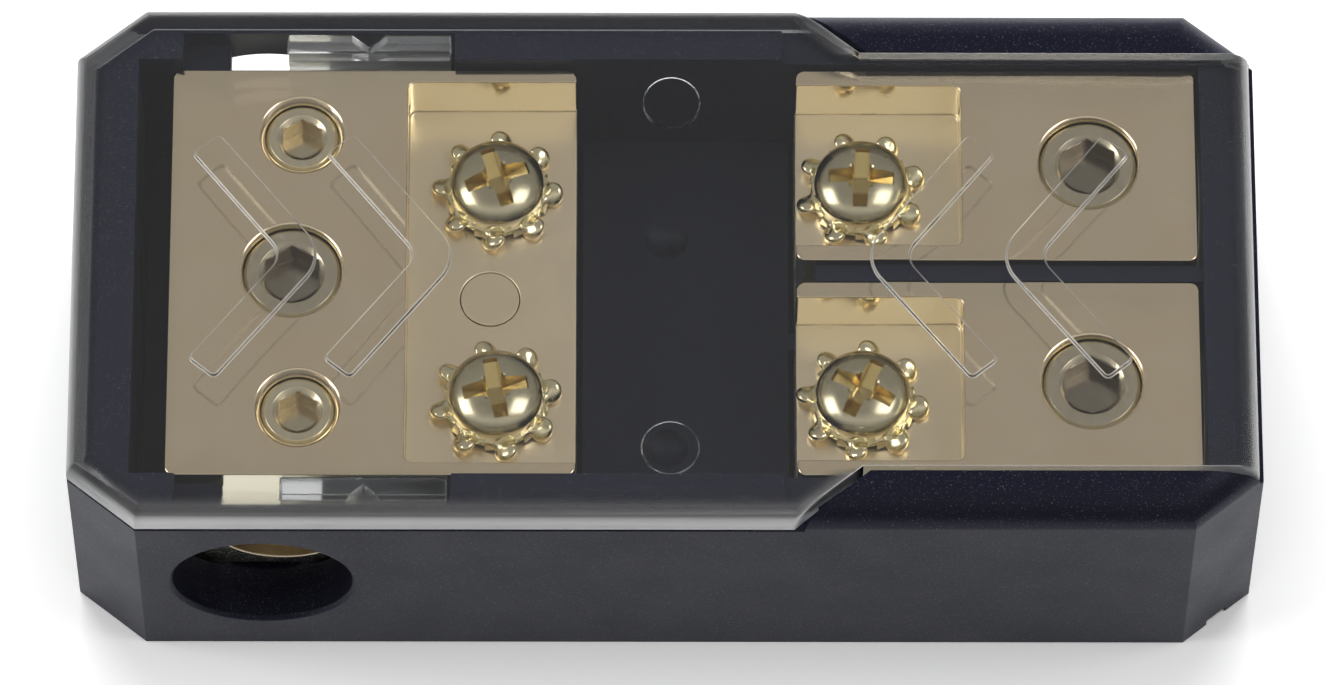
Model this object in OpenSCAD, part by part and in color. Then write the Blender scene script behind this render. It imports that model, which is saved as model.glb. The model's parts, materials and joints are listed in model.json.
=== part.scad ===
// Fused distribution block for two bolt-down strip fuses.
// Open base, clear cover that slides to unlock, one input and two output terminal blocks,
// clamping set screws, fuse screws with tooth washers, and block fixing screws from below.
// Millimetres, +Z up, front towards -Y, input end towards -X.

/* [Housing] */
// Length of the housing along X
body_length = 97; // [94:0.5:104]
// Width of the housing along Y
body_width = 46.5; // [46:0.5:52]
// Corner cut measured along X
corner_cut_x = 5.6; // [4.6:0.1:6.4]
// Corner cut measured along Y
corner_cut_y = 4.5; // [3.6:0.1:4.6]
// Height of the outer wall under the cover
rim_height = 22.1; // [21.8:0.1:23]
// Rise of the inner lip above the outer wall
lip_rise = 0.8; // [0.6:0.1:1]
// Radius of the rounded top edges
edge_radius = 2.1; // [1.6:0.1:2.4]
// Drop of the side rails below the top of the cover
rail_drop = 0.35; // [0.2:0.05:0.6]
// Thickness of the outer wall beside the clip pockets
outer_wall = 2.1; // [1.8:0.05:2.2]
// Height of the floor that the terminal blocks stand on
seat_height = 5.3; // [4.5:0.1:5.6]
// Height of the raised floor between the blocks
well_height = 8; // [7:0.25:10]
// Thickness of the rib between the output blocks
divider_width = 1.5; // [1.2:0.1:1.6]
// Height of the top of that rib
divider_height = 21.3; // [18:0.1:21.6]
// Diameter of the dimples in the raised floor
dimple_diameter = 3.6; // [2.5:0.1:4.5]
// Depth of those dimples
dimple_depth = 0.9; // [0.5:0.1:1.2]

/* [Cover] */
// Thickness of the clear plate
cover_thickness = 2.1; // [1.8:0.1:2.6]
// Thickness of the rim that hangs around the lip
skirt_thickness = 1.6; // [1.2:0.1:1.7]
// Gap between the rim of the cover and the outer wall
skirt_gap = 0.35; // [0.2:0.05:0.5]
// Half of the width of the narrow end
narrow_half = 18.78; // [18.6:0.02:18.9]
// Distance from the middle to where the narrow end starts
shoulder_x = 16; // [14:0.5:20]
// Gap between the slanted cover edge and its rail
slant_gap = 0.6; // [0.3:0.1:0.9]
// How far the free end stops short of the housing end
end_inset = 0.4; // [0.2:0.1:0.8]
// Distance that the cover slides to unlock
slide_travel = 4.6; // [3.5:0.1:4.6]
// Width of the raised arrow strips
arrow_width = 2.75; // [2:0.25:3.5]
// Height of the raised arrow strips
arrow_height = 0.4; // [0.2:0.1:0.6]
// Reach of an arrow from its point, along X
arrow_reach_x = 8.25; // [6:0.25:9]
// Reach of an arrow from its point, along Y
arrow_reach_y = 10.15; // [8:0.25:11]
// Distance between the two arrows of a pair
arrow_pitch = 11; // [10:0.5:11.5]
// Diameter of the round marks sunk into the underside
mark_diameter = 4.66; // [3:0.1:6]
// Depth of those marks
mark_depth = 0.25; // [0.1:0.05:0.5]

/* [Clips] */
// Length of each clip along X
clip_length = 13.35; // [11:0.25:13.5]
// Distance from the middle to the near end of each clip
clip_near_x = 17.75; // [17.5:0.25:19]
// Thickness of the clip head across the wall
clip_depth = 1.65; // [1.4:0.05:1.75]
// Depth of the clip head below the cover plate
clip_head = 2; // [1.6:0.1:2.05]
// Thickness of the web under the head
clip_web = 0.8; // [0.6:0.1:0.9]
// Width of the notch in the clip head
notch_width = 2.9; // [2:0.1:4]
// Depth of the notch in the clip head
notch_depth = 1.2; // [0.6:0.1:1.3]
// Length of each clip pocket along X
pocket_length = 22.4; // [21:0.1:23]

/* [Terminal blocks] */
// Distance between the two screws of a fuse
fuse_spacing = 30; // [29:0.25:31]
// Distance between the two fuses
lane_spacing = 19.2; // [18.4:0.2:20]
// Middle of the fuses along X
fuse_middle_x = 1.15; // [0:0.05:2]
// Height of the top of the blocks
block_top = 21.7; // [21:0.1:21.8]
// Half of the width over the blocks
block_half = 18.42; // [18.2:0.02:18.5]
// Length of the input block
input_length = 33.3; // [32:0.1:34]
// Length of the output blocks
output_length = 32.9; // [32:0.1:33.5]
// Distance from a fuse screw to the near end of the input block
input_overhang = 6.55; // [6.2:0.05:7]
// Distance from a fuse screw to the near end of an output block
output_overhang = 5.42; // [5.2:0.02:5.8]
// Gap between the output blocks
block_gap = 1.98; // [1.9:0.02:2.4]
// Depth of the fuse steps below the top
step_depth = 5.35; // [5:0.05:6]
// Length of the fuse step in the input block
input_step = 13.9; // [13:0.1:14.5]
// Length of the fuse steps in the output blocks
output_step = 13.6; // [12.5:0.1:14]
// Width of the strip left at each end of the input step
input_strip = 1.15; // [1:0.05:2]
// Width of the strip left at each side of an output step
output_strip = 1.4; // [1:0.05:1.6]
// Corner radius of the blocks and steps
block_corner = 0.7; // [0.4:0.1:1]

/* [Wire entries] */
// Radius of the input wire bore
input_bore_radius = 5.5; // [4.5:0.1:5.6]
// Distance from the middle to the input wire bore
input_bore_x = 31.4; // [31:0.1:31.8]
// Radius of the output wire bores
output_bore_radius = 4.6; // [3.5:0.1:5]
// Depth of the output wire bores
output_bore_depth = 16; // [13:0.5:16.5]
// Height of the wire bores
bore_height = 11.9; // [11.4:0.1:12]
// Radius of the round openings at the input end
input_port_radius = 7.35; // [6.6:0.05:7.4]
// Distance from the middle to those openings
input_port_x = 32.9; // [32:0.1:33]
// Radius of the round openings at the output end
output_port_radius = 6; // [5.2:0.1:6.5]
// Edge break around the round openings
port_chamfer = 0.3; // [0.2:0.1:0.6]

/* [Set screws] */
// Radius of the large set screws
large_set_radius = 4; // [3.5:0.1:4.2]
// Radius of the small set screws
small_set_radius = 3; // [2.5:0.1:3.2]
// Key width of the large set screws
large_key = 4.4; // [3.5:0.1:5]
// Key width of the small set screws
small_key = 3.1; // [2.5:0.1:3.5]
// Length of the set screws
set_length = 3.5; // [3:0.1:3.6]
// Depth of the set screws below the block top
set_recess = 0.5; // [0.3:0.1:0.6]
// Distance from the middle to the large input set screw
input_set_x = 30.55; // [30:0.05:31.2]
// Distance from the middle to the small input set screws
small_set_x = 29.9; // [29.5:0.05:30.6]
// Distance of the small input set screws from the middle line
small_set_y = 12.4; // [11.5:0.1:13]
// Distance from the middle to the output set screws
output_set_x = 34.75; // [34:0.05:36]
// Distance of the output set screws from the middle line
output_set_y = 9.95; // [9.5:0.05:10.2]

/* [Fuse screws] */
// Radius of the screw heads
head_radius = 3.95; // [3.5:0.05:4]
// Height of the screw heads
head_height = 2.8; // [2.4:0.1:3]
// Radius of the domed top of the heads
dome_radius = 5.2; // [4.8:0.1:7]
// Radius of the screw shanks
shank_radius = 2; // [1.5:0.05:2.2]
// Length of the screw shanks
shank_length = 9; // [6:0.5:9.5]
// Length of the cross slots
cross_length = 5.4; // [3.6:0.1:5.6]
// Width of the cross slots
cross_width = 1.25; // [0.7:0.05:1.3]
// Depth of the cross slots
cross_depth = 2.1; // [1.7:0.1:2.2]
// Outer radius of the washer teeth
tooth_reach = 5.45; // [5.2:0.05:5.6]
// Outer radius of the washer ring
washer_radius = 4.3; // [4.1:0.05:4.5]
// Thickness of the washers
washer_thickness = 0.7; // [0.5:0.05:0.9]
// Number of washer teeth
tooth_count = 8; // [6:1:9]
// Width of each tooth
tooth_width = 2; // [1.5:0.1:2.2]
// Twist of each tooth
tooth_twist = 22; // [15:1:28]

/* [Fixing screws] */
// Radius of the fixing screw shanks
fixing_radius = 2.4; // [2:0.1:2.6]
// Radius of the fixing screw heads
fixing_head_radius = 4.4; // [4:0.1:4.8]
// Height of the fixing screw heads
fixing_head = 2.4; // [2:0.1:2.4]
// Depth of the recess around each head
fixing_recess = 2.8; // [2.7:0.1:3.2]
// Distance from the middle to the input fixing screw
input_fixing_x = 14.4; // [14:0.1:15]
// Distance from the middle to the output fixing screws
output_fixing_x = 22.4; // [21.8:0.1:23]
// Length of the output fixing screws inside their blocks
output_fixing_grip = 7; // [5:0.5:8]

/* [Hidden] */
$fn = 96;
half_length = body_length / 2;
half_width = body_width / 2;
margin = 2;
touch_gap = 0.02;
edge_break = 0.01;
running_gap = 0.06;
loose_gap = 0.3;
tooth_gap = 0.12;
seat_gap = 0.36;
lip_gap = 0.15;
plate_gap = 0.1;
side_gap = 0.17;
slide_gap = 0.2;
left_gap = 2.8;
middle_gap = 0.45;
hex_sides = 6;
lip_top = rim_height + lip_rise;
plate_under = lip_top + plate_gap;
cover_top = plate_under + cover_thickness;
skirt_bottom = rim_height + skirt_gap;
rail_top = cover_top - rail_drop;
arrow_top = cover_top + arrow_height;
slant = corner_cut_x / corner_cut_y;
cut_length = sqrt(corner_cut_x * corner_cut_x + corner_cut_y * corner_cut_y);
cut_reach = (corner_cut_y * half_length + corner_cut_x * (half_width - corner_cut_y)) / cut_length;
cut_angle = atan2(corner_cut_x, corner_cut_y);
lip_end_x = shoulder_x - slant * (half_width - narrow_half) - lip_rise;
input_screw_x = fuse_middle_x - fuse_spacing / 2;
output_screw_x = fuse_middle_x + fuse_spacing / 2;
lane_y = lane_spacing / 2;
input_x1 = input_screw_x + input_overhang;
input_x0 = input_x1 - input_length;
output_x0 = output_screw_x - output_overhang;
output_x1 = output_x0 + output_length;
output_inner = block_gap / 2;
cavity_x0 = input_x0 - left_gap;
cavity_x1 = output_x1 + seat_gap;
cavity_half = block_half + seat_gap;
well_x0 = input_x1 + middle_gap;
well_x1 = output_x0 - middle_gap;
step_floor = block_top - step_depth;
port_z = bore_height;
set_top = block_top - set_recess;
set_entry = 0.3;
small_entry = 0.55;
cross_end = 0.45;
key_depth = 2.4;
cup_depth = 0.4;
dimple_sphere = (dimple_diameter * dimple_diameter / 4 + dimple_depth * dimple_depth) / (2 * dimple_depth);
tooth_half = tooth_width / 2 * sin(tooth_twist) + washer_thickness / 2 * cos(tooth_twist);
washer_middle = step_floor + touch_gap + tooth_half;
head_seat = washer_middle + washer_thickness / 2 + touch_gap;
pocket_outer = half_width - outer_wall;
clip_outer = pocket_outer - slide_gap;
clip_inner = clip_outer - clip_depth;
clip_x1 = -clip_near_x;
clip_x0 = clip_x1 - clip_length;
pocket_x1 = clip_x1 + 2 * slide_gap;
pocket_x0 = pocket_x1 - pocket_length;
shelf_top = plate_under - clip_head - slide_gap;
shelf_thickness = 1.3;
shelf_under = shelf_top - shelf_thickness;
hook_top = shelf_under - slide_gap;
hook_height = 1.6;
hook_bottom = hook_top - hook_height;
hook_floor = hook_bottom - 2 * slide_gap;
gate_x0 = clip_x0 - slide_travel - slide_gap;
gate_x1 = clip_x1 - slide_travel + slide_gap;
fixing_tip_z = seat_height + output_fixing_grip;
fixing_seat_z = fixing_recess;
mark_places = [[0.5, 14.7], [0.4, -16.6]];
dimple_x = 0.15;
left_arrow_x = -18.4;
right_arrow_x = 17.65;
foot_notch = [2, 1.2, 0.8];
screw_turns = [19, 11, -3, 63];
washer_turns = [41, 11, 16, 38];
plastic_colour = [0.05, 0.05, 0.055];
clear_colour = [0.86, 0.9, 0.92, 0.35];
gold_colour = [0.8, 0.66, 0.36];
steel_colour = [0.5, 0.47, 0.42];

// Corner-cut outline moved inwards by an even distance
function outline(inset) =
    let (x = half_length - inset,
         y = half_width - inset,
         reach = (cut_reach - inset) * cut_length,
         side_y = (reach - corner_cut_y * x) / corner_cut_x,
         end_x = (reach - corner_cut_x * y) / corner_cut_y)
    [[x, side_y], [end_x, y], [-end_x, y], [-x, side_y],
     [-x, -side_y], [-end_x, -y], [end_x, -y], [x, -side_y]];

// Box between two corners
module block_between(low, high) {
    translate(low)
        cube(high - low);
}

// Cut that rounds the top edge facing one way, at a reach from the middle
module edge_round(turn, reach, height) {
    rotate([90, 0, turn])
        linear_extrude(2 * body_length, center = true)
            translate([reach - edge_radius + edge_break, height - edge_radius + edge_break])
                difference() {
                    square(edge_radius + margin);
                    circle(edge_radius);
                }
}

// Rectangle with rounded corners between two corners
module rounded_rectangle(low, high, radius) {
    size = high - low;
    translate(low + [radius, 0])
        square([size[0] - 2 * radius, size[1]]);
    translate(low + [0, radius])
        square([size[0], size[1] - 2 * radius]);
    for (x = [low[0] + radius, high[0] - radius])
        for (y = [low[1] + radius, high[1] - radius])
            translate([x, y])
                circle(radius);
}

// Plan of the cover: full width to the slanted edges, then the narrow end
module cover_plan() {
    far = half_width + margin;
    corner_x = shoulder_x - slant * (far - narrow_half);
    end_x = half_length - end_inset;
    intersection() {
        polygon(outline(0));
        polygon([[-half_length - margin, -far], [corner_x, -far], [shoulder_x, -narrow_half],
                 [end_x, -narrow_half], [end_x, narrow_half],
                 [shoulder_x, narrow_half], [corner_x, far], [-half_length - margin, far]]);
    }
}

// Plan of one side rail beside the narrow end
module rail_plan() {
    near = narrow_half + side_gap;
    far = half_width + margin;
    start_x = shoulder_x + slant_gap;
    intersection() {
        polygon(outline(0));
        polygon([[start_x, near], [half_length + margin, near],
                 [half_length + margin, far], [start_x - slant * (far - near), far]]);
    }
}

// Round opening along Y through a long wall, with a broken outer edge
module side_port(side) {
    translate([-input_port_x, 0, port_z])
        rotate([side * -90, 0, 0]) {
            translate([0, 0, cavity_half - margin])
                cylinder(half_width - cavity_half + 2 * margin, r = input_port_radius);
            translate([0, 0, half_width - port_chamfer])
                cylinder(2 * port_chamfer, input_port_radius, input_port_radius + 2 * port_chamfer);
        }
}

// Round opening along X through the output end wall, with a broken outer edge
module end_port(side) {
    translate([0, side * output_set_y, port_z])
        rotate([0, 90, 0]) {
            translate([0, 0, cavity_x1 - margin])
                cylinder(half_length - cavity_x1 + 2 * margin, r = output_port_radius);
            translate([0, 0, half_length - port_chamfer])
                cylinder(2 * port_chamfer, output_port_radius, output_port_radius + 2 * port_chamfer);
        }
}

// Pocket for one clip: head space, gate through the shelf, and hook space under it
module clip_pocket() {
    inner = cavity_half - margin;
    web_outer = clip_inner + clip_web + slide_gap;
    block_between([pocket_x0, inner, shelf_top], [pocket_x1, pocket_outer, cover_top]);
    block_between([gate_x0, inner, shelf_under - margin / 2], [gate_x1, pocket_outer, cover_top]);
    block_between([gate_x0, inner, shelf_under - margin / 2], [pocket_x1, web_outer, cover_top]);
    block_between([gate_x0, inner, hook_floor], [pocket_x1, pocket_outer, shelf_under]);
}

// Recess and clearance hole for one fixing screw
module fixing_hole(x, y) {
    translate([x, y, -margin]) {
        cylinder(fixing_recess + margin, r = fixing_head_radius + loose_gap);
        cylinder(seat_height + 2 * margin, r = fixing_radius + loose_gap);
    }
}

// Seats for the blocks, the raised floor between them and the rib between the output blocks
module block_seats() {
    high = cover_top;
    block_between([cavity_x0, -cavity_half, seat_height], [well_x0, cavity_half, high]);
    block_between([well_x0 - margin, -cavity_half, well_height], [well_x1 + margin, cavity_half, high]);
    block_between([well_x1, -cavity_half, divider_height], [cavity_x1, cavity_half, high]);
    for (side = [0, 1])
        mirror([0, side, 0])
            block_between([well_x1, divider_width / 2, seat_height], [cavity_x1, cavity_half, high]);
}

// Raised rail beside the narrow end of the cover, with rounded top edges
module rail() {
    difference() {
        linear_extrude(rail_top)
            rail_plan();
        edge_round(90, half_width, rail_top);
        edge_round(0, half_length, rail_top);
        edge_round(cut_angle, cut_reach, rail_top);
    }
}

// Black moulded base
module base() {
    color(plastic_colour)
        difference() {
            union() {
                linear_extrude(rim_height)
                    polygon(outline(0));
                linear_extrude(lip_top)
                    intersection() {
                        polygon(outline(skirt_thickness + lip_gap));
                        translate([-body_length, -body_width])
                            square([body_length + lip_end_x, 2 * body_width]);
                    }
                for (side = [0, 1])
                    mirror([0, side, 0])
                        rail();
            }
            block_seats();
            for (side = [0, 1])
                mirror([0, side, 0])
                    clip_pocket();
            for (side = [-1, 1]) {
                side_port(side);
                end_port(side);
                translate([dimple_x, side * lane_y, well_height + dimple_sphere - dimple_depth])
                    sphere(dimple_sphere);
                fixing_hole(output_fixing_x, side * output_set_y);
            }
            fixing_hole(-input_fixing_x, 0);
            translate([half_length - corner_cut_x / 2, corner_cut_y / 2 - half_width, 0])
                rotate([0, 0, 90 - cut_angle])
                    cube([foot_notch[0], 2 * foot_notch[1], 2 * foot_notch[2]], center = true);
        }
}

// Clip under the long edge of the cover: notched head, web and hook
module clip() {
    notch_x = (clip_x0 + clip_x1) / 2;
    head_bottom = plate_under - clip_head;
    difference() {
        block_between([clip_x0, clip_inner, head_bottom], [clip_x1, clip_outer, plate_under + touch_gap]);
        translate([notch_x, clip_outer, head_bottom - margin])
            linear_extrude(clip_head + margin)
                polygon([[-notch_width / 2, touch_gap], [0, -notch_depth], [notch_width / 2, touch_gap]]);
    }
    block_between([clip_x0, clip_inner, hook_bottom], [clip_x1, clip_inner + clip_web, head_bottom]);
    block_between([clip_x0, clip_inner, hook_bottom], [clip_x1, clip_outer, hook_top]);
}

// Raised arrow strip pointing along +X with its point on the origin
module arrow() {
    arm = sqrt(arrow_reach_x * arrow_reach_x + arrow_reach_y * arrow_reach_y);
    slope = atan2(arrow_reach_y, arrow_reach_x);
    half = arrow_width / 2;
    corner = arrow_width / 6;
    inner = half / sin(slope);
    cut = arrow_width / 2;
    circle(half);
    for (side = [0, 1])
        mirror([0, side])
            rotate(180 - slope)
                rounded_rectangle([-corner, -half], [arm, half], corner);
    polygon([[-inner, 0], [-inner - cut * cos(slope), cut * sin(slope)],
             [-inner - cut * cos(slope), -cut * sin(slope)]]);
}

// Clear cover with arrows, round marks and two clips
module cover() {
    color(clear_colour)
        union() {
            difference() {
                translate([0, 0, skirt_bottom])
                    linear_extrude(cover_top - skirt_bottom)
                        cover_plan();
                linear_extrude(plate_under)
                    polygon(outline(skirt_thickness));
                for (place = mark_places)
                    translate([place[0], place[1], rim_height])
                        cylinder(plate_under + mark_depth - rim_height, d = mark_diameter);
                edge_round(0, half_length - end_inset, cover_top);
                edge_round(180, half_length, cover_top);
                for (side = [-1, 1]) {
                    edge_round(side * 90, half_width, cover_top);
                    edge_round(180 + side * cut_angle, cut_reach, cover_top);
                }
            }
            for (side = [0, 1])
                mirror([0, side, 0])
                    clip();
            translate([0, 0, cover_top - touch_gap])
                linear_extrude(arrow_height + touch_gap) {
                    for (step = [0, 1]) {
                        translate([left_arrow_x - step * arrow_pitch, 0])
                            arrow();
                        translate([right_arrow_x + step * arrow_pitch, 0])
                            mirror([1, 0])
                                arrow();
                    }
                }
        }
}

// Entry and thread space for one set screw, from the block top down to a wire bore
module set_screw_hole(x, y, radius, entry) {
    translate([x, y, bore_height])
        cylinder(block_top - bore_height + margin, r = radius + running_gap);
    translate([x, y, block_top - entry])
        cylinder(2 * entry, radius, radius + 2 * entry);
}

// Thread space for one fuse screw
module fuse_screw_hole(x, y) {
    translate([x, y, head_seat - shank_length - margin / 2])
        cylinder(shank_length + margin, r = shank_radius + running_gap);
}

// Thread space for one fixing screw, from the block underside
module fixing_thread(x, y, tip) {
    translate([x, y, seat_height - margin])
        cylinder(tip - seat_height + margin, r = fixing_radius + running_gap);
}

// Input terminal block with one bore right through and a step for both fuses
module input_block() {
    step_x0 = input_x1 - input_step;
    step_half = block_half - input_strip;
    color(gold_colour)
        difference() {
            translate([0, 0, seat_height])
                linear_extrude(block_top - seat_height)
                    rounded_rectangle([input_x0, -block_half], [input_x1, block_half], block_corner);
            translate([0, 0, step_floor])
                linear_extrude(step_depth + margin)
                    rounded_rectangle([step_x0, -step_half], [input_x1 + margin, step_half], block_corner);
            translate([-input_bore_x, 0, bore_height])
                rotate([90, 0, 0])
                    cylinder(2 * body_width, r = input_bore_radius, center = true);
            set_screw_hole(-input_set_x, 0, large_set_radius, set_entry);
            for (side = [-1, 1]) {
                set_screw_hole(-small_set_x, side * small_set_y, small_set_radius, small_entry);
                fuse_screw_hole(input_screw_x, side * lane_y);
            }
            fixing_thread(-input_fixing_x, 0, block_top);
        }
}

// Output terminal block at the rear, with a wire bore from the output end
module output_block() {
    step_x1 = output_x0 + output_step;
    step_low = [output_x0 - margin, output_inner + output_strip];
    step_high = [step_x1, block_half - output_strip];
    color(gold_colour)
        difference() {
            translate([0, 0, seat_height])
                linear_extrude(block_top - seat_height)
                    rounded_rectangle([output_x0, output_inner], [output_x1, block_half], block_corner);
            translate([0, 0, step_floor])
                linear_extrude(step_depth + margin)
                    rounded_rectangle(step_low, step_high, block_corner);
            translate([output_x1 - output_bore_depth, output_set_y, bore_height])
                rotate([0, 90, 0])
                    cylinder(output_bore_depth + margin, r = output_bore_radius);
            set_screw_hole(output_set_x, output_set_y, large_set_radius, set_entry);
            fuse_screw_hole(output_screw_x, lane_y);
            fixing_thread(output_fixing_x, output_set_y, fixing_tip_z + loose_gap);
        }
}

// Set screw with a chamfered top, a hexagon socket and a hollow tip
module set_screw(x, y, radius, key) {
    chamfer = set_entry;
    translate([x, y, set_top - set_length])
        difference() {
            union() {
                cylinder(set_length - chamfer, r = radius);
                translate([0, 0, set_length - chamfer])
                    cylinder(chamfer, radius, radius - chamfer);
            }
            translate([0, 0, set_length - key_depth])
                rotate([0, 0, 180 / hex_sides])
                    cylinder(key_depth + margin, d = key / cos(180 / hex_sides), $fn = hex_sides);
            translate([0, 0, set_length - chamfer])
                cylinder(2 * chamfer, key / 2 + chamfer / 2, key / 2 + 3 * chamfer);
            translate([0, 0, -touch_gap])
                cylinder(cup_depth, radius - 2 * chamfer, radius / 2);
        }
}

// Cross recess cut downwards from the origin: wings that deepen towards a cone in the middle
module cross_recess(length, width, depth) {
    wing = length / 2;
    core = width / 2;
    slope = (width - core) / depth;
    for (turn = [0, 90])
        rotate([90, 0, turn])
            linear_extrude(width, center = true)
                polygon([[-wing, margin], [-wing, -cross_end * depth], [-core, -depth],
                         [core, -depth], [wing, -cross_end * depth], [wing, margin]]);
    translate([0, 0, -depth - touch_gap])
        cylinder(depth + margin, core + touch_gap, core + slope * (depth + margin));
}

// Domed fuse screw with a turned cross recess, standing on its washer
module fuse_screw(x, y, turn) {
    color(gold_colour)
        translate([x, y, head_seat])
            difference() {
                union() {
                    intersection() {
                        cylinder(head_height, r = head_radius);
                        translate([0, 0, head_height - dome_radius])
                            sphere(dome_radius);
                    }
                    translate([0, 0, -shank_length])
                        cylinder(shank_length + head_height / 4, r = shank_radius);
                }
                translate([0, 0, head_height])
                    rotate([0, 0, turn])
                        cross_recess(cross_length, cross_width, cross_depth);
            }
}

// Washer with twisted teeth around its rim
module washer(x, y, turn) {
    tooth_start = head_radius + tooth_gap;
    color(gold_colour)
        translate([x, y, washer_middle])
            difference() {
                union() {
                    cylinder(washer_thickness, r = washer_radius, center = true);
                    for (tooth = [0 : tooth_count - 1])
                        rotate([0, 0, turn + tooth * 360 / tooth_count])
                            rotate([tooth_twist, 0, 0])
                                translate([tooth_start, -tooth_width / 2, -washer_thickness / 2])
                                    cube([tooth_reach - tooth_start, tooth_width, washer_thickness]);
                }
                cylinder(4 * washer_thickness, r = shank_radius + loose_gap, center = true);
            }
}

// Fixing screw up through the base into a block
module fixing_screw(x, y, tip) {
    color(steel_colour)
        translate([x, y, 0])
            difference() {
                union() {
                    translate([0, 0, fixing_seat_z - fixing_head - touch_gap])
                        cylinder(fixing_head, r = fixing_head_radius);
                    translate([0, 0, fixing_seat_z - fixing_head])
                        cylinder(tip - fixing_seat_z + fixing_head, r = fixing_radius);
                }
                translate([0, 0, fixing_seat_z - fixing_head - touch_gap])
                    rotate([180, 0, 0])
                        cross_recess(cross_length, cross_width, cross_depth);
            }
}

module output_block_rear() {
    output_block();
}

module output_block_front() {
    mirror([0, 1, 0])
        output_block();
}

module input_set_screw_middle() {
    color(steel_colour)
        set_screw(-input_set_x, 0, large_set_radius, large_key);
}

module input_set_screw_rear() {
    color(gold_colour)
        set_screw(-small_set_x, small_set_y, small_set_radius, small_key);
}

module input_set_screw_front() {
    color(gold_colour)
        set_screw(-small_set_x, -small_set_y, small_set_radius, small_key);
}

module output_set_screw_rear() {
    color(steel_colour)
        set_screw(output_set_x, output_set_y, large_set_radius, large_key);
}

module output_set_screw_front() {
    color(steel_colour)
        set_screw(output_set_x, -output_set_y, large_set_radius, large_key);
}

base();
cover();
input_block();
output_block_rear();
output_block_front();
input_set_screw_middle();
input_set_screw_rear();
input_set_screw_front();
output_set_screw_rear();
output_set_screw_front();
fuse_screw(input_screw_x, lane_y, screw_turns[0]);  // fuse_screw_input_rear
fuse_screw(input_screw_x, -lane_y, screw_turns[1]);  // fuse_screw_input_front
fuse_screw(output_screw_x, lane_y, screw_turns[2]);  // fuse_screw_output_rear
fuse_screw(output_screw_x, -lane_y, screw_turns[3]);  // fuse_screw_output_front
washer(input_screw_x, lane_y, washer_turns[0]);  // washer_input_rear
washer(input_screw_x, -lane_y, washer_turns[1]);  // washer_input_front
washer(output_screw_x, lane_y, washer_turns[2]);  // washer_output_rear
washer(output_screw_x, -lane_y, washer_turns[3]);  // washer_output_front
fixing_screw(-input_fixing_x, 0, step_floor);  // fixing_screw_input
fixing_screw(output_fixing_x, output_set_y, fixing_tip_z);  // fixing_screw_output_rear
fixing_screw(output_fixing_x, -output_set_y, fixing_tip_z);  // fixing_screw_output_front
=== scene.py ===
"""Looks of a fused distribution block: grained black housing, clear cover, gold-plated blocks and screws."""
import json
from math import cos, pi, radians, sin

import bmesh
import bpy
import numpy as np
from mathutils import Matrix, Vector

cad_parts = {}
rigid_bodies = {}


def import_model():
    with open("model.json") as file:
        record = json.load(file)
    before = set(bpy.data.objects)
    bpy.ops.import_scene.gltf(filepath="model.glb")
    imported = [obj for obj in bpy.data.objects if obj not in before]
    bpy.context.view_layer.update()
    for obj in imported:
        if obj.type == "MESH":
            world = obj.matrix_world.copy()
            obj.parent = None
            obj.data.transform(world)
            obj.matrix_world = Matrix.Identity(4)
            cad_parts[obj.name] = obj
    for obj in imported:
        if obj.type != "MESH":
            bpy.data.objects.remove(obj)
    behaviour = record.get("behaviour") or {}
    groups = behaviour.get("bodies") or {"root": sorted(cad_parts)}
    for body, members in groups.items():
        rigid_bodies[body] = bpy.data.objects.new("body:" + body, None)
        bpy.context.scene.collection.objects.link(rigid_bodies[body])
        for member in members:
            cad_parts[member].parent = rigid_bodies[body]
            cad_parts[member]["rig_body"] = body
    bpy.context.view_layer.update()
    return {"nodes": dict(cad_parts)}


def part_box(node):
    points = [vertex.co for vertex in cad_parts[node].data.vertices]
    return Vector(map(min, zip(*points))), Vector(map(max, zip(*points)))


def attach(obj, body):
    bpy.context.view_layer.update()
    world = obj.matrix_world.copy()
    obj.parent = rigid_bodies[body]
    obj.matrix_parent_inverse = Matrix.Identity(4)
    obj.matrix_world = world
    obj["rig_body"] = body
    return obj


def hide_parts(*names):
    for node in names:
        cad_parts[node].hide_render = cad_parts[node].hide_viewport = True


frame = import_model()

# Sizes are in metres, written in millimetres times MM
MM = 0.001

# Camera at the photo's angle: degrees, metres, and the focal length in the photo's pixels
PHOTO_WIDTH = 1327
FOCAL_PIXELS = 10028
SENSOR_WIDTH = 36
AZIMUTH = 0.32
ELEVATION = 64.41
ROLL = 0.37
DISTANCE = 828.9 * MM
TARGET = Vector((-0.12 * MM, -1.48 * MM, 12 * MM))

# Studio: half the floor's side, and the floor's tone as it lights the block and as it is seen or mirrored
FLOOR_HALF = 3
FLOOR_TONE = 0.9
FLOOR_SEEN = 1.45
# Sky tones over the half circle from the front horizon (0) past straight up (0.5) to the back horizon (1)
SKY_TONES = (
    (0.0, 0.1),
    (0.18, 0.2),
    (0.34, 0.66),
    (0.42, 0.3),
    (0.5, 0.26),
    (0.64, 0.31),
    (0.8, 0.3),
    (1.0, 0.36),
)
# Softboxes: name, direction from the block, distance, width, height, brightness of the panel, mirrored or not
SOFTBOXES = (
    ("left_softbox", (-0.77, -0.06, 0.63), 0.9, 0.42, 0.5, 3.2, True),
    ("right_softbox", (0.52, -0.05, 0.85), 0.9, 0.36, 0.4, 2.8, True),
    ("back_softbox", (0.0, 0.93, 0.36), 1.0, 1.6, 0.36, 10.0, False),
)

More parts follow.
